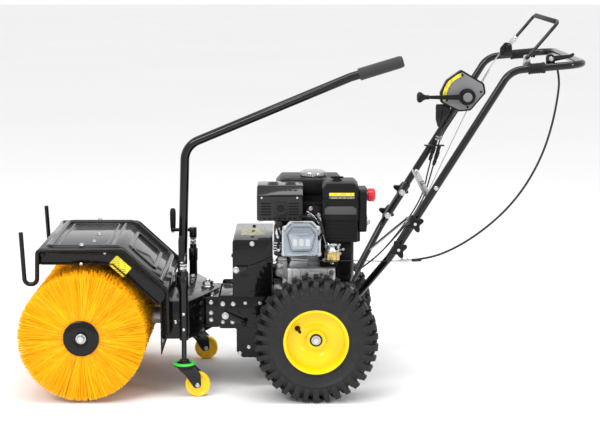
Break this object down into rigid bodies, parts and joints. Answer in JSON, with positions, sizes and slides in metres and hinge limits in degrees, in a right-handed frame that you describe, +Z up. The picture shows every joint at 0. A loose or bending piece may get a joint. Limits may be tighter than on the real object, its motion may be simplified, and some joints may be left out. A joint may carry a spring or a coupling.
{
  "type": "power sweeper",
  "caption": "Walk-behind petrol power sweeper with a rotary bristle brush on a swivelling carriage, pneumatic wheels and a tubular handlebar.",
  "frame": {"origin": "on the ground, at the centre of the bounding box in plan", "axes": "+X from the brush to the operator's handlebar, +Y across to the fuel tank side, +Z up"},
  "size_m": [1.4879, 0.6486, 1.0064],
  "materials": {
    "black_paint": "gloss",
    "zinc_plate": "satin",
    "cast_alloy": "satin",
    "brass": "satin",
    "tyre_rubber": "matte",
    "yellow_paint": "gloss",
    "bristle": "satin",
    "black_plastic": "satin",
    "grey_panel": "matte",
    "red_plastic": "gloss",
    "amber_wheel": "satin",
    "foam": "matte"
  },
  "bodies": {
    "chassis": {"side_plate_left": "black_paint", "side_plate_right": "black_paint", "swivel_tongue": "black_paint", "engine_deck": "black_paint", "belly_plate": "black_paint", "transmission_case": "cast_alloy", "belt_cover": "black_paint", "crankcase": "cast_alloy", "valve_cover": "cast_alloy", "muffler": "black_paint", "fuel_tank": "black_plastic", "air_cleaner": "black_plastic", "carburettor": "brass", "flywheel_housing": "black_plastic", "control_panel": "black_plastic", "handle_bracket_left": "black_paint", "handle_bracket_right": "black_paint", "handlebar": "black_paint", "cross_brace": "black_paint", "selector_plate": "grey_panel", "brush_clutch_cable": "black_plastic"},
    "drive_axle": {"axle": "zinc_plate", "tyre_left": "tyre_rubber", "tyre_right": "tyre_rubber", "rim_left": "yellow_paint", "rim_right": "yellow_paint"},
    "carriage": {"carriage_frame": "black_paint", "rear_skirt": "black_paint", "swivel_pin": "zinc_plate", "brush_cover": "black_paint", "accessory_rod_left": "black_paint", "accessory_rod_right": "black_paint", "caster_post_left": "black_paint", "caster_post_right": "black_paint", "swivel_lever": "black_paint", "swivel_lever_grip": "foam", "brush_gearbox": "cast_alloy"},
    "brush_drum": {"brush_left": "bristle", "brush_right": "bristle", "brush_shaft": "black_paint"},
    "bail": {"safety_bail": "black_paint"},
    "gear_lever_body": {"gear_lever": "black_plastic"},
    "fuel_cap_body": {"fuel_cap": "zinc_plate"},
    "choke": {"choke_knob": "red_plastic"},
    "clutch_lever": {"brush_clutch_lever": "zinc_plate"},
    "clutch_arm_body": {"clutch_arm": "zinc_plate"},
    "swivel_lock": {"swivel_lock_lever": "black_paint"},
    "crank_left": {"height_crank_left": "black_paint"},
    "lift_left": {"caster_stem_left": "zinc_plate"},
    "fork_left": {"caster_fork_left": "black_paint"},
    "castor_left": {"caster_wheel_left": "amber_wheel"},
    "knob_left_1": {"clamp_knob_left_1": "black_plastic"},
    "knob_left_2": {"clamp_knob_left_2": "black_plastic"},
    "crank_right": {"height_crank_right": "black_paint"},
    "lift_right": {"caster_stem_right": "zinc_plate"},
    "fork_right": {"caster_fork_right": "black_paint"},
    "castor_right": {"caster_wheel_right": "amber_wheel"},
    "knob_right_1": {"clamp_knob_right_1": "black_plastic"},
    "knob_right_2": {"clamp_knob_right_2": "black_plastic"}
  },
  "joints": [
    {"name": "drive_axle_spin", "type": "hinge", "parent": "chassis", "child": "drive_axle", "pos_m": [0.044, 0, 0.165], "axis": [0, 1, 0], "continuous": true},
    {"name": "carriage_swivel", "type": "hinge", "parent": "chassis", "child": "carriage", "pos_m": [-0.256, 0, 0.205], "axis": [0, 0, 1], "range_deg": [-15, 15]},
    {"name": "brush_spin", "type": "hinge", "parent": "carriage", "child": "brush_drum", "pos_m": [-0.574, 0, 0.177], "axis": [0, 1, 0], "continuous": true},
    {"name": "height_crank_turn_left", "type": "hinge", "parent": "carriage", "child": "crank_left", "pos_m": [-0.309, 0.2125, 0.36], "axis": [0, 0, 1], "range_deg": [-1440, 2160]},
    {"name": "caster_height_left", "type": "slide", "parent": "carriage", "child": "lift_left", "axis": [0, 0, 1], "range_m": [-0.0205, 0.0305]},
    {"name": "caster_swivel_left", "type": "hinge", "parent": "lift_left", "child": "fork_left", "pos_m": [-0.309, 0.2125, 0.09], "axis": [0, 0, 1], "continuous": true},
    {"name": "caster_wheel_spin_left", "type": "hinge", "parent": "fork_left", "child": "castor_left", "pos_m": [-0.273, 0.2125, 0.0335], "axis": [0, 1, 0], "continuous": true},
    {"name": "clamp_knob_turn_left_1", "type": "hinge", "parent": "chassis", "child": "knob_left_1", "pos_m": [0.257, 0.3, 0.418], "axis": [0, 1, 0], "continuous": true},
    {"name": "clamp_knob_turn_left_2", "type": "hinge", "parent": "chassis", "child": "knob_left_2", "pos_m": [0.299, 0.3, 0.486], "axis": [0, 1, 0], "continuous": true},
    {"name": "height_crank_turn_right", "type": "hinge", "parent": "carriage", "child": "crank_right", "pos_m": [-0.309, -0.2125, 0.36], "axis": [0, 0, 1], "range_deg": [-1440, 2160]},
    {"name": "caster_height_right", "type": "slide", "parent": "carriage", "child": "lift_right", "axis": [0, 0, 1], "range_m": [-0.0205, 0.0305]},
    {"name": "caster_swivel_right", "type": "hinge", "parent": "lift_right", "child": "fork_right", "pos_m": [-0.309, -0.2125, 0.09], "axis": [0, 0, 1], "continuous": true},
    {"name": "caster_wheel_spin_right", "type": "hinge", "parent": "fork_right", "child": "castor_right", "pos_m": [-0.273, -0.2125, 0.0335], "axis": [0, 1, 0], "continuous": true},
    {"name": "clamp_knob_turn_right_1", "type": "hinge", "parent": "chassis", "child": "knob_right_1", "pos_m": [0.257, -0.3, 0.418], "axis": [0, 1, 0], "continuous": true},
    {"name": "clamp_knob_turn_right_2", "type": "hinge", "parent": "chassis", "child": "knob_right_2", "pos_m": [0.299, -0.3, 0.486], "axis": [0, 1, 0], "continuous": true},
    {"name": "safety_bail_close", "type": "hinge", "parent": "chassis", "child": "bail", "pos_m": [0.588, 0, 0.91], "axis": [0, 1, 0], "range_deg": [0, 30], "stiffness_Nm_per_rad": 0.8, "springref_deg": -28.65},
    {"name": "gear_lever_turn", "type": "hinge", "parent": "chassis", "child": "gear_lever_body", "pos_m": [0.4817, 0.2, 0.7676], "axis": [0, 1, 0], "range_deg": [0, 60]},
    {"name": "fuel_cap_turn", "type": "hinge", "parent": "chassis", "child": "fuel_cap_body", "pos_m": [0.038, 0.072, 0.57], "axis": [0, 0, 1], "range_deg": [0, 90]},
    {"name": "choke_knob_turn", "type": "hinge", "parent": "chassis", "child": "choke", "pos_m": [0.184, -0.078, 0.527], "axis": [1, 0, 0], "range_deg": [0, 90]},
    {"name": "brush_clutch_squeeze", "type": "hinge", "parent": "chassis", "child": "clutch_lever", "pos_m": [0.65, -0.252, 0.908], "axis": [0, 1, 0], "range_deg": [0, 18], "stiffness_Nm_per_rad": 0.5, "springref_deg": -17.19},
    {"name": "clutch_arm_turn", "type": "hinge", "parent": "chassis", "child": "clutch_arm_body", "pos_m": [-0.1714, -0.145, 0.3316], "axis": [0, -1, 0], "range_deg": [0, 18]},
    {"name": "swivel_lock_turn", "type": "hinge", "parent": "chassis", "child": "swivel_lock", "pos_m": [-0.202, -0.12, 0.201], "axis": [0, -1, 0], "range_deg": [0, 35]}
  ],
  "couplings": [
    {"joint": "caster_height_left", "follows": "height_crank_turn_left", "m_per_rad": 0.00079577},
    {"joint": "caster_height_right", "follows": "height_crank_turn_right", "m_per_rad": 0.00079577},
    {"joint": "clutch_arm_turn", "follows": "brush_clutch_squeeze", "ratio": 1}
  ]
}
